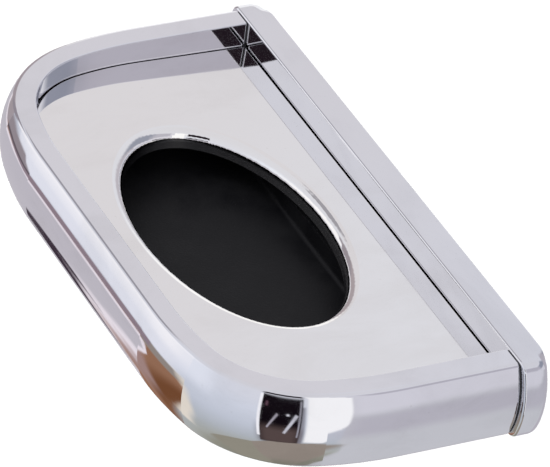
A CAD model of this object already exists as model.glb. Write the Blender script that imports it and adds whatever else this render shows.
# %% [markdown]
# # A chrome wall soap holder
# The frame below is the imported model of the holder: every solid piece, in metres, with
# X along the wall, Y into the wall and Z up. Its shapes are already smooth enough for
# chrome, so no piece is modelled again here. Blender adds what a solid can't hold:
# finishes, light and a camera.

import bpy
import numpy as np
from mathutils import Matrix, Vector

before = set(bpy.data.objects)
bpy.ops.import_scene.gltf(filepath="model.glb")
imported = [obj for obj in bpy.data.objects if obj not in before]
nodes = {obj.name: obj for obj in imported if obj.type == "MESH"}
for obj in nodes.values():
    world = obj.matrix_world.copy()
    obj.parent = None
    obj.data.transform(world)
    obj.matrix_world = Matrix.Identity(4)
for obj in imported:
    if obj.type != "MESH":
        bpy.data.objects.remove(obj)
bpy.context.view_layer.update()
print("nodes:", sorted(nodes))

# %% [markdown]
# ## Camera
# The view was solved from straight and curved edges whose sizes are known. A long lens
# from a metre and a half away keeps the rim's two arms almost parallel, so the lens is
# given by its focal length in pixels of a 550 pixel wide picture.

# %% Camera
PICTURE_WIDTH = 550
FOCAL_PIXELS = 5731.18
SENSOR_WIDTH = 36.0
NEAREST_SEEN, FARTHEST_SEEN = 0.05, 20.0
camera_data = bpy.data.cameras.new("camera")
camera_data.sensor_width = SENSOR_WIDTH
camera_data.sensor_fit = "HORIZONTAL"
camera_data.lens = FOCAL_PIXELS * SENSOR_WIDTH / PICTURE_WIDTH
camera_data.clip_start = NEAREST_SEEN
camera_data.clip_end = FARTHEST_SEEN
camera = bpy.data.objects.new("camera", camera_data)
bpy.context.scene.collection.objects.link(camera)
right = np.array([0.426330, 0.898403, 0.105419])
up = np.array([-0.555951, 0.168307, 0.813997])
back = np.cross(right, up)
place = np.array([1.014402, -0.610141, 0.811522])
pose = np.eye(4)
pose[:3, :3] = np.column_stack([right, up, back])
pose[:3, 3] = place
camera.matrix_world = Matrix(pose.tolist())
bpy.context.scene.camera = camera
print("lens in mm:", round(camera_data.lens, 1))

# %% [markdown]
# ## A way to write shader nodes
# Every finish below is a small graph of nodes. One helper adds a node, sets its options
# and fills its sockets, either with a number or with a link, so that each finish reads
# as a list of what it is made of. Two more do what comes up most: carry a value from one
# range to another, and blend two colours.

# %% Node helpers
def add_node(tree, kind, sockets=None, **options):
    """Add a shader node; a socket is filled with a value, or linked where it is given one."""
    made = tree.nodes.new("ShaderNode" + kind)
    for name, value in options.items():
        setattr(made, name, value)
    for key, value in (sockets or {}).items():
        if isinstance(value, bpy.types.NodeSocket):
            tree.links.new(value, made.inputs[key])
        else:
            made.inputs[key].default_value = value
    return made


def remap(tree, value, old, new=(0.0, 1.0), **options):
    """Carry a value in a straight line from one range to another, and hold it there."""
    sockets = {0: value, 1: old[0], 2: old[1], 3: new[0], 4: new[1]}
    return add_node(tree, "MapRange", sockets, **options).outputs[0]


def blend(tree, share, first, second, **options):
    """The first colour where the share is 0, the second where it is 1."""
    sockets = {0: share, 6: first, 7: second}
    return add_node(tree, "Mix", sockets, data_type="RGBA", **options).outputs[2]


def tone(red, green, blue):
    """A screen tone from 0 to 255 as the linear colour that a shader works with."""
    share = np.array([red, green, blue]) / 255
    linear = np.where(share <= 0.04045, share / 12.92, ((share + 0.055) / 1.055) ** 2.4)
    return (*linear.tolist(), 1.0)


print("mid grey is", round(tone(128, 128, 128)[0], 3))

# %% [markdown]
# ## The room that the chrome shows
# Polished chrome has hardly a colour of its own: what is seen on it is the room. Real
# lamps and cards could stand round the holder, but the holder is small beside them, so
# only their direction matters. The room is therefore painted on the world by direction:
# a bearing in degrees, 0 in front of the holder and positive to its right, and an
# elevation above the table. Each lamp or card is a patch with straight, soft sides.

# %% Directions and patches
def view_bearings(tree):
    """Where a ray goes, as a vector of bearing and elevation in degrees and the number 1."""
    coords = add_node(tree, "TexCoord")
    part = add_node(tree, "SeparateXYZ", {0: coords.outputs["Object"]})
    front = add_node(tree, "Math", {0: part.outputs["Y"], 1: -1.0}, operation="MULTIPLY")
    turn = add_node(
        tree, "Math", {0: part.outputs["X"], 1: front.outputs[0]}, operation="ARCTAN2"
    )
    rise = add_node(tree, "Math", {0: part.outputs["Z"]}, operation="ARCSINE")
    bearing = add_node(tree, "Math", {0: turn.outputs[0]}, operation="DEGREES")
    elevation = add_node(tree, "Math", {0: rise.outputs[0]}, operation="DEGREES")
    return add_node(
        tree, "CombineXYZ", {0: bearing.outputs[0], 1: elevation.outputs[0], 2: 1.0}
    )


def patch_mask(tree, where, corners, soft):
    """Share of a convex patch, its corners counter-clockwise, that covers a direction.

    Each side gives the distance inside it in degrees, a dot product of (bearing,
    elevation, 1), and the shares of all sides, each a soft step, are multiplied.
    """
    corners = np.array(corners, dtype=float)
    along = np.roll(corners, -1, axis=0) - corners
    inward = np.stack([-along[:, 1], along[:, 0]], axis=1)
    inward /= np.linalg.norm(inward, axis=1)[:, None]
    offsets = -(inward * corners).sum(axis=1)
    softness = np.broadcast_to(soft, len(corners))
    mask = None
    for (across, rise), offset, width in zip(inward, offsets, softness):
        inside = add_node(
            tree,
            "VectorMath",
            {0: where.outputs[0], 1: (across, rise, offset)},
            operation="DOT_PRODUCT",
        )
        step = remap(
            tree, inside.outputs["Value"], (-width, width), interpolation_type="SMOOTHSTEP"
        )
        if mask is None:
            mask = step
        else:
            mask = add_node(tree, "Math", {0: mask, 1: step}, operation="MULTIPLY").outputs[0]
    return mask


# %% [markdown]
# The list runs from the back of the room to the front, so a later patch covers an
# earlier one: grey walls and corners, a pale sweep, the left light box, the wooden edge
# of the table and its pale top with their thin lines, the right light box, a dark card
# between the two boxes with the camera on its stand, and the khaki floor. Under them
# lies a base colour that changes with the elevation alone.

# %% Paint the room
STRAIGHT_DOWN, STRAIGHT_UP = -90.0, 90.0
SKY_STOPS = [
    # elevation, colour
    (-90, tone(118, 116, 104)),
    (-66, tone(150, 149, 136)),
    (-58, tone(174, 177, 172)),
    (-46, tone(184, 190, 196)),
    (-30, tone(200, 206, 217)),
    (-8, tone(216, 221, 232)),
    (12, tone(222, 224, 232)),
    (90, tone(218, 217, 221)),
]
PATCHES = [
    # name, colour, softness in degrees, corners as (bearing, elevation)
    ("right wall", tone(201, 202, 207), (0.6, 0.6, 1, 2, 6, 2, 6), [
        (97, 40), (97, -20), (100, -42), (112, -62), (130, -80), (200, -80), (200, 40)]),
    ("right wall, middle", tone(188, 186, 195), 7, [
        (97, -10), (97, -36), (210, -36), (210, -10)]),
    ("right wall, upper", tone(216, 215, 223), 5, [(97, 42), (97, -8), (200, -8), (200, 42)]),
    ("right rear", tone(186, 184, 194), 4, [(105, 45), (105, 20), (200, 20), (200, 45)]),
    ("rear left", tone(188, 184, 192), 6, [(-200, 24), (-200, -80), (-135, -80), (-135, 24)]),
    ("behind the left corner", tone(150, 154, 168), (12, 4, 2, 4), [
        (146, 45), (146, 16), (200, 16), (200, 45)]),
    ("behind the left corner, far part", tone(150, 154, 168), (2, 4, 10, 4), [
        (-200, 45), (-200, 16), (-160, 16), (-160, 45)]),
    ("light over the rail", tone(219, 217, 221), (2.2, 3, 3, 3), [
        (-121.5, 60), (-121.5, 22), (-80, 22), (-80, 60)]),
    ("left rear shade", tone(168, 158, 162), 3, [
        (-114, 26), (-114, -40), (-70, -40), (-70, 26)]),
    ("left mauve wall", tone(152, 145, 152), (3, 2, 0.8, 4), [
        (-80, 26), (-80, -9), (-63.5, -9), (-64.5, 26)]),
    ("rear light box", tone(255, 255, 255), 3, [
        (-130, 24), (-130, -14), (-110, -14), (-110, 24)]),
    ("cream sweep", tone(234, 226, 212), (2, 4, 5, 3, 2, 2), [
        (-62, -51), (-50, -56), (-26, -45), (-24, -24), (-31, -19), (-45, -24)]),
    ("beside the light box", tone(232, 236, 245), (4, 8, 12, 8), [
        (-40, 30), (-40, -12), (-2, -12), (-2, 30)]),
    ("left light box, low", tone(234, 236, 244), (0.8, 1.5, 6, 10, 2), [
        (-63, 22), (-60, -18.5), (-33, -20), (-24, -6), (-24, 22)]),
    ("left light box", tone(254, 253, 255), (0.8, 5, 8, 12, 2), [
        (-63, 24), (-62.5, -7), (-28, -7), (-26, -4), (-24, 24)]),
    ("wood edge", tone(152, 112, 88), (1, 1, 1, 1, 1, 1, 1, 1, 1.5, 1.5, 1, 1), [
        (-110, -52), (-75, -52), (-65, -50.7), (-57, -48.7), (-50, -46), (-41, -41.5),
        (-36, -38), (-34, -35), (-31.5, -30), (-32, -24), (-46, -20), (-75, -20)]),
    ("wood, shaded near", tone(118, 76, 50), (4, 1, 1, 1, 1, 1, 4), [
        (-95, -53), (-65, -51), (-57, -49), (-50, -46.3), (-41, -41.8), (-35, -37),
        (-34, -32)]),
    ("wood, far", tone(150, 141, 134), (1, 1, 2.5, 1), [
        (-50, -20), (-50, -26), (-31, -26), (-31, -20)]),
    ("wood, left", tone(166, 138, 132), (3, 3, 3, 3), [
        (-90, -38), (-90, -47), (-66, -47), (-56, -34)]),
    ("light line", tone(240, 232, 238), (1, 0.5, 0.5, 0.5, 0.5, 0.5, 0.6, 0.8, 1), [
        (-112, -44.6), (-92, -44.5), (-79, -43.6), (-69, -40.8), (-59, -36.3),
        (-51.2, -31.8), (-49.2, -26), (-56, -22), (-112, -21)]),
    ("table top", tone(196, 192, 199), (1, 0.4, 0.4, 0.4, 0.4, 0.4, 0.6, 0.8, 1), [
        (-112, -43.6), (-92, -43.5), (-79, -42.7), (-69, -39.9), (-60, -35.6),
        (-53, -31.5), (-51.5, -27.6), (-58, -24), (-112, -23)]),
    ("shaded table", tone(146, 130, 139), 0.7, [
        (-76, -19.5), (-70, -21), (-53, -24.2), (-46, -24.2), (-44, -19.8)]),
    ("dark patch", tone(152, 143, 148), (0.8, 0.8, 0.8, 1.5), [
        (-69, -12), (-71, -20.5), (-53, -20.5), (-54, -12)]),
    ("dark line", tone(98, 88, 94), 0.7, [
        (-72, -18.6), (-73, -20.6), (-53, -21), (-53, -19.4)]),
    ("shadow line", tone(60, 48, 60), (0.3, 0.3, 0.4, 0.3, 2), [
        (-99, -44.1), (-90, -43.9), (-79.5, -43), (-78, -42.1), (-99, -42.7)]),
    ("dark over the rail", tone(160, 158, 165), 2, [
        (-98, 49), (-96, 39), (-66, 36), (-64, 48)]),
    ("grey beside the card", tone(150, 150, 160), 1.5, [
        (70, 6), (70, -47), (75, -47), (73.5, 6)]),
    ("right light box", tone(255, 255, 255), (1.5, 1.5, 1, 0.6, 3), [
        (74.5, 48), (76, -42.5), (91, -43), (98, -20), (98, 48)]),
    ("dark above the card", tone(36, 28, 34), 2, [(38, 48), (38, 27), (71.5, 27), (71.5, 48)]),
    ("dark card", tone(18, 12, 18), (0.5, 1.5, 0.7, 1), [
        (40, 12.5), (40, -47), (71.5, -47), (71.5, 12.5)]),
    ("card foot", tone(88, 74, 72), 7, [(40, -24), (40, -49), (71.5, -49), (71.5, -24)]),
    ("card's bright edge", tone(252, 252, 255), 0.6, [
        (38, 12), (38, -40), (40.3, -40), (40.3, 12)]),
    ("camera stand, left leg", tone(170, 165, 175), 0.5, [
        (52.3, -5), (45.3, -26), (46.5, -27), (53.7, -7)]),
    ("camera stand, right leg", tone(205, 205, 214), 0.6, [
        (66.3, -4), (58.3, -31), (60.2, -32), (68.6, -6)]),
    ("camera lens", tone(240, 240, 248), 0.6, [
        (59.8, -4.5), (59.8, -7), (61.8, -7), (61.8, -4.5)]),
    ("lamp in the card", tone(92, 66, 78), 0.8, [(43, 8), (43, 2), (45, 2), (45, 8)]),
    ("card's right edge", tone(160, 158, 168), 0.5, [
        (69.2, 11), (69.2, -36), (70.4, -36), (70.4, 11)]),
    ("khaki floor, left", tone(150, 146, 132), (0.6, 8, 8, 8), [
        (36, -52), (-30, -60.5), (-30, -90), (36, -90)]),
    ("khaki floor, right", tone(152, 142, 132), (0.5, 0.5, 0.5, 8, 3, 2), [
        (88, -43.5), (48, -46.5), (30, -53), (30, -80), (104, -80), (104, -47)]),
]


def paint_room(tree):
    """The base colour by elevation, with every patch mixed over the ones before it."""
    where = view_bearings(tree)
    height = add_node(tree, "SeparateXYZ", {0: where.outputs[0]})
    share = remap(tree, height.outputs["Y"], (STRAIGHT_DOWN, STRAIGHT_UP))
    sky = add_node(tree, "ValToRGB", {0: share})
    ramp = sky.color_ramp
    while len(ramp.elements) < len(SKY_STOPS):
        ramp.elements.new(0.5)
    for element, (elevation, colour) in zip(ramp.elements, SKY_STOPS):
        element.position = (elevation - STRAIGHT_DOWN) / (STRAIGHT_UP - STRAIGHT_DOWN)
        element.color = colour
    colour_now = sky.outputs[0]
    for name, colour, soft, corners in PATCHES:
        mask = patch_mask(tree, where, corners, soft)
        colour_now = blend(tree, mask, colour_now, colour, label=name)
    return colour_now


# %% [markdown]
# The holder is photographed on plain white. Rays from the camera, and rays through the
# clear silicone, see that white. Rays mirrored by the metal see the painted room.
# Everything else is lit by a plain white level.

# %% World
WORLD_LEVEL = 0.62
world = bpy.data.worlds.new("studio")
bpy.context.scene.world = world
world.use_nodes = True
studio = world.node_tree
studio.nodes.clear()
room = add_node(studio, "Background", {0: paint_room(studio), 1: 1.0})
plain = add_node(studio, "Background", {0: (1, 1, 1, 1), 1: WORLD_LEVEL})
white = add_node(studio, "Background", {0: (1, 1, 1, 1), 1: 1.0})
path = add_node(studio, "LightPath")
lit = add_node(
    studio,
    "MixShader",
    {0: path.outputs["Is Glossy Ray"], 1: plain.outputs[0], 2: room.outputs[0]},
)
clear_view = add_node(
    studio,
    "Math",
    {0: path.outputs["Is Camera Ray"], 1: path.outputs["Is Transmission Ray"]},
    operation="MAXIMUM",
)
seen = add_node(
    studio, "MixShader", {0: clear_view.outputs[0], 1: lit.outputs[0], 2: white.outputs[0]}
)
add_node(studio, "OutputWorld", {0: seen.outputs[0]})
bpy.context.scene.view_settings.view_transform = "Standard"
print("patches in the room:", len(PATCHES), "nodes:", len(studio.nodes))

# %% [markdown]
# ## Floor
# The holder hangs on a wall, so the pale floor lies well below it and only a very soft
# shadow reaches it. It is marked as stage: it isn't part of the holder. Seen from
# below it is clear, so that the underside of the holder can be looked at, and mirrored
# rays pass through it to the painted room.

# %% Floor
FLOOR_DROP = 0.30
FLOOR_HALF = 3.0
FIBRE_SCALE = 40.0
PAPER_DARKEST = 0.97
floor_mesh = bpy.data.meshes.new("pale_floor")
turns = ((-1, -1), (1, -1), (1, 1), (-1, 1))
floor_mesh.from_pydata(
    [(x * FLOOR_HALF, y * FLOOR_HALF, -FLOOR_DROP) for x, y in turns], [], [(0, 1, 2, 3)]
)
floor = bpy.data.objects.new("pale_floor", floor_mesh)
bpy.context.scene.collection.objects.link(floor)
floor_look = bpy.data.materials.new("pale_paper")
floor_look.use_nodes = True
paper = floor_look.node_tree
paper.nodes.clear()
spot = add_node(paper, "TexCoord")
fibre = add_node(
    paper, "TexNoise", {"Vector": spot.outputs["Object"], "Scale": FIBRE_SCALE, "Detail": 6.0}
)
shade = remap(paper, fibre.outputs[0], (0.3, 0.7), (PAPER_DARKEST, 1.0))
grain = add_node(paper, "CombineColor", {part: shade for part in range(3)})
matt_paper = add_node(paper, "BsdfDiffuse", {0: grain.outputs[0]})
clear = add_node(paper, "BsdfTransparent")
side = add_node(paper, "NewGeometry")
sheet = add_node(
    paper,
    "MixShader",
    {0: side.outputs["Backfacing"], 1: matt_paper.outputs[0], 2: clear.outputs[0]},
)
add_node(paper, "OutputMaterial", {0: sheet.outputs[0]})
floor_mesh.materials.append(floor_look)
floor.visible_glossy = False

# %% [markdown]
# ## Lamps
# Two large, soft lamps light what isn't chrome: the pads, the gaskets, the pan and the
# floor. They are kept out of the mirrored rays, because the room already shows its
# light boxes to the metal.

# %% Lamps
LAMPS = [
    # name, place in metres, size in metres, power in watts
    ("key_lamp", (-0.7, -0.9, 1.5), 1.2, 22.0),
    ("fill_lamp", (1.1, -0.5, 1.2), 1.4, 10.0),
]
for name, spot_place, size, power in LAMPS:
    lamp_data = bpy.data.lights.new(name, "AREA")
    lamp_data.shape = "SQUARE"
    lamp_data.size = size
    lamp_data.energy = power
    lamp = bpy.data.objects.new(name, lamp_data)
    lamp.location = spot_place
    lamp.rotation_euler = Vector(spot_place).to_track_quat("Z", "Y").to_euler()
    lamp.visible_glossy = False
    bpy.context.scene.collection.objects.link(lamp)
print("lamps:", [name for name, *_ in LAMPS])

# %% [markdown]
# ## Chrome
# The rim and the rail are cast, polished and plated. Plating is a mirror with a cool
# tint, and it is never perfect: polishing leaves a slow waviness that bends reflected
# edges, hands and hard water leave dull smears, drops dry to small spots, and the
# plating is a little softer along worn edges. A photograph of real chrome could be
# wrapped round the solids, but a recipe fits every side of them, so each part of it
# reads the object's own coordinates. The pressed floor plate is plated too, and gets
# the same recipe with warmer, paler tints, because fresh sheet polishes brighter.

# %% Chrome recipe
EDGE_LEAN = (1.0, 0.82)
CHROME_WORN_WIDTH = 0.0007
SMEAR_SCALE, SMEAR_RANGE = 42.0, (0.42, 0.72)
SPOT_SCALE, SPOT_RANGE = 260.0, (0.10, 0.04)
SCRATCH_SCALE, SCRATCH_RANGE = 900.0, (0.3, 0.7)
CLEAN_AND_DIRTY_ROUGHNESS = (0.022, 0.075)
SCRATCH_ROUGHNESS = 0.02
WORN_ROUGHNESS = 0.06


def edge_wear(tree, width):
    """0 on open surfaces and 1 on edges: how far a rounded normal leans from the real one."""
    smooth = add_node(tree, "Bevel", {"Radius": width}, samples=4)
    real = add_node(tree, "NewGeometry")
    lean = add_node(
        tree,
        "VectorMath",
        {0: smooth.outputs[0], 1: real.outputs["Normal"]},
        operation="DOT_PRODUCT",
    )
    return remap(tree, lean.outputs["Value"], EDGE_LEAN)


def chrome(name, clean, dull, wave_size, wave_depth, streak):
    """Plated metal: two tints mixed by smears, roughness by smears and wear, slow waves."""
    look = bpy.data.materials.new(name)
    look.use_nodes = True
    tree = look.node_tree
    metal = tree.nodes["Principled BSDF"]
    metal.inputs["Metallic"].default_value = 1.0
    here = add_node(tree, "TexCoord").outputs["Object"]
    stretched = add_node(tree, "Mapping", {0: here, 3: streak}).outputs[0]
    smear = add_node(
        tree,
        "TexNoise",
        {"Vector": stretched, "Scale": SMEAR_SCALE, "Detail": 5.0, "Roughness": 0.62,
         "Distortion": 0.6},
    )
    smears = remap(tree, smear.outputs[0], SMEAR_RANGE, interpolation_type="SMOOTHSTEP")
    spot = add_node(
        tree, "TexVoronoi", {"Vector": here, "Scale": SPOT_SCALE, "Randomness": 1.0}
    )
    spots = remap(tree, spot.outputs["Distance"], SPOT_RANGE)
    scratch = add_node(
        tree, "TexNoise", {"Vector": stretched, "Scale": SCRATCH_SCALE, "Detail": 2.0}
    )
    wear = edge_wear(tree, CHROME_WORN_WIDTH)
    dirt = add_node(tree, "Math", {0: smears, 1: spots}, operation="MAXIMUM").outputs[0]
    tree.links.new(blend(tree, dirt, clean, dull), metal.inputs["Base Color"])
    dirt_rough = remap(tree, dirt, (0.0, 1.0), CLEAN_AND_DIRTY_ROUGHNESS)
    fine_rough = remap(tree, scratch.outputs[0], SCRATCH_RANGE, (0.0, SCRATCH_ROUGHNESS))
    worn_rough = add_node(
        tree, "Math", {0: wear, 1: WORN_ROUGHNESS, 2: fine_rough}, operation="MULTIPLY_ADD"
    )
    rough = add_node(tree, "Math", {0: dirt_rough, 1: worn_rough.outputs[0]}, operation="ADD")
    tree.links.new(rough.outputs[0], metal.inputs["Roughness"])
    wave = add_node(tree, "TexNoise", {"Vector": here, "Scale": 1 / wave_size, "Detail": 1.5})
    bend = add_node(
        tree, "Bump", {"Height": wave.outputs[0], "Distance": wave_depth, "Strength": 1.0}
    )
    tree.links.new(bend.outputs[0], metal.inputs["Normal"])
    return look


WAVE_DEPTH = 0.00002
rim_chrome = chrome(
    "rim_chrome", (0.875, 0.87, 0.905, 1), (0.82, 0.815, 0.845, 1), 0.018, WAVE_DEPTH,
    (1, 1, 2),
)
rail_chrome = chrome(
    "rail_chrome", (0.87, 0.87, 0.905, 1), (0.80, 0.80, 0.835, 1), 0.022, WAVE_DEPTH,
    (0.5, 1, 1),
)
plate_chrome = chrome(
    "plate_chrome", (0.97, 0.955, 0.945, 1), (0.93, 0.91, 0.895, 1), 0.020, WAVE_DEPTH,
    (1, 0.6, 1),
)
print("chrome finishes:", rim_chrome.name, rail_chrome.name, plate_chrome.name)

# %% [markdown]
# ## Rubber and plastic
# The hidden pieces get the same care, because the plate lifts out and the holder is
# also seen from below and from behind. Moulded plastic has a fine spark-eroded grain,
# and rubber a bloom of paler dust. One recipe makes both. The pan looks black through
# the drain opening, so its plastic is very dark and throws back little of the light.

# %% Matt recipe
MATT_WORN_WIDTH = 0.0005
BLOOM_RANGE = (0.35, 0.7)
WORN_PALER = 0.5
PAN_SHINE = 0.15


def matt(name, dark, pale, patch, roughness, grain_size, grain_depth):
    """A matt surface: two tones and two roughnesses mixed by patches, over fine grain."""
    look = bpy.data.materials.new(name)
    look.use_nodes = True
    tree = look.node_tree
    body = tree.nodes["Principled BSDF"]
    here = add_node(tree, "TexCoord").outputs["Object"]
    bloom = add_node(
        tree, "TexNoise", {"Vector": here, "Scale": 1 / patch, "Detail": 5.0, "Roughness": 0.6}
    )
    share = remap(tree, bloom.outputs[0], BLOOM_RANGE)
    wear = edge_wear(tree, MATT_WORN_WIDTH)
    paler = add_node(
        tree, "Math", {0: wear, 1: WORN_PALER, 2: share},
        operation="MULTIPLY_ADD", use_clamp=True,
    )
    tree.links.new(blend(tree, paler.outputs[0], dark, pale), body.inputs["Base Color"])
    tree.links.new(remap(tree, share, (0.0, 1.0), roughness), body.inputs["Roughness"])
    grain = add_node(
        tree, "TexNoise", {"Vector": here, "Scale": 1 / grain_size, "Detail": 2.0}
    )
    bump = add_node(tree, "Bump", {"Height": grain.outputs[0], "Distance": grain_depth})
    tree.links.new(bump.outputs[0], body.inputs["Normal"])
    return look


black_rubber = matt(
    "black_rubber", (0.016, 0.016, 0.018, 1), (0.045, 0.045, 0.048, 1), 0.006, (0.62, 0.85),
    0.0008, 0.00003,
)
black_plastic = matt(
    "black_plastic", (0.004, 0.004, 0.005, 1), (0.008, 0.008, 0.009, 1), 0.012, (0.42, 0.62),
    0.0005, 0.00004,
)
pan_body = black_plastic.node_tree.nodes["Principled BSDF"]
pan_body.inputs["Specular IOR Level"].default_value = PAN_SHINE
print("matt finishes:", black_rubber.name, black_plastic.name)

# %% [markdown]
# ## Steel
# Screws, bolts, washers and pins are plain bright steel. The wall brackets are pressed
# from zinc-plated sheet, whose surface is a fine pattern of crystals. One recipe, with
# a larger pattern for the sheet, drives tint, roughness and relief together, and edges
# that are handled shine a little more.

# %% Steel recipe
STEEL_WORN_WIDTH = 0.0004
CLOUD_SCALE = 180.0
CRYSTAL_RANGE = (0.05, 0.4)
EDGE_POLISH = -0.10
CRYSTAL_DEPTH = 0.00002


def steel(name, bright, worn, pattern_size, roughness):
    """Bare or plated steel: a fine crystal pattern drives tint, roughness and relief."""
    look = bpy.data.materials.new(name)
    look.use_nodes = True
    tree = look.node_tree
    metal = tree.nodes["Principled BSDF"]
    metal.inputs["Metallic"].default_value = 1.0
    here = add_node(tree, "TexCoord").outputs["Object"]
    crystal = add_node(
        tree, "TexVoronoi", {"Vector": here, "Scale": 1 / pattern_size, "Randomness": 1.0}
    )
    cloud = add_node(tree, "TexNoise", {"Vector": here, "Scale": CLOUD_SCALE, "Detail": 6.0})
    both = add_node(
        tree, "Math", {0: crystal.outputs["Distance"], 1: cloud.outputs[0]},
        operation="MULTIPLY",
    ).outputs[0]
    share = remap(tree, both, CRYSTAL_RANGE)
    tree.links.new(blend(tree, share, bright, worn), metal.inputs["Base Color"])
    wear = edge_wear(tree, STEEL_WORN_WIDTH)
    base = remap(tree, share, (0.0, 1.0), roughness)
    rough = add_node(
        tree, "Math", {0: wear, 1: EDGE_POLISH, 2: base}, operation="MULTIPLY_ADD"
    )
    tree.links.new(rough.outputs[0], metal.inputs["Roughness"])
    bump = add_node(tree, "Bump", {"Height": both, "Distance": CRYSTAL_DEPTH})
    tree.links.new(bump.outputs[0], metal.inputs["Normal"])
    return look


screw_steel = steel(
    "screw_steel", (0.66, 0.66, 0.68, 1), (0.52, 0.52, 0.54, 1), 0.0009, (0.22, 0.38)
)
bracket_steel = steel(
    "bracket_steel", (0.60, 0.62, 0.64, 1), (0.46, 0.48, 0.50, 1), 0.0018, (0.30, 0.48)
)
print("steel finishes:", screw_steel.name, bracket_steel.name)

# %% [markdown]
# ## Clear silicone
# The six pads that the plate rests on are moulded from clear silicone. It lets light
# through and is slightly milky and hazy, so its tint, its roughness and its skin all
# follow one fine noise.

# %% Clear silicone
SILICONE_CLEARNESS = 0.85
SILICONE_IOR = 1.41
MILK_SCALE = 500.0
clear_silicone = bpy.data.materials.new("clear_silicone")
clear_silicone.use_nodes = True
silicone = clear_silicone.node_tree
gel = silicone.nodes["Principled BSDF"]
gel.inputs["Transmission Weight"].default_value = SILICONE_CLEARNESS
gel.inputs["IOR"].default_value = SILICONE_IOR
here = add_node(silicone, "TexCoord").outputs["Object"]
milk = add_node(silicone, "TexNoise", {"Vector": here, "Scale": MILK_SCALE, "Detail": 4.0})
milky = blend(silicone, milk.outputs[0], (0.80, 0.82, 0.84, 1), (0.93, 0.94, 0.95, 1))
silicone.links.new(milky, gel.inputs["Base Color"])
haze = remap(silicone, milk.outputs[0], (0.0, 1.0), (0.18, 0.34))
silicone.links.new(haze, gel.inputs["Roughness"])
skin = add_node(silicone, "Bump", {"Height": milk.outputs[0], "Distance": 0.00002})
silicone.links.new(skin.outputs[0], gel.inputs["Normal"])
print("silicone IOR:", round(gel.inputs["IOR"].default_value, 2))

# %% [markdown]
# ## Dressing the solids
# Every node of the frame keeps its own shape and gets its finish by its name.

# %% Finishes of the nodes
FINISHES = {
    "tray_frame": rim_chrome,
    "wall_rail": rail_chrome,
    "floor_plate": plate_chrome,
    "rest_pads": clear_silicone,
    "pan_gasket": black_rubber,
    "joint_gasket": black_rubber,
    "drip_pan": black_plastic,
    "pan_screws": screw_steel,
    "tray_bolts": screw_steel,
    "spring_washers": screw_steel,
    "locating_pins": screw_steel,
    "grub_screws": screw_steel,
    "wall_bracket_left": bracket_steel,
    "wall_bracket_right": bracket_steel,
}
for name, solid in nodes.items():
    solid.data.materials.clear()
    solid.data.materials.append(FINISHES[name])
print("dressed:", len(nodes), "nodes")
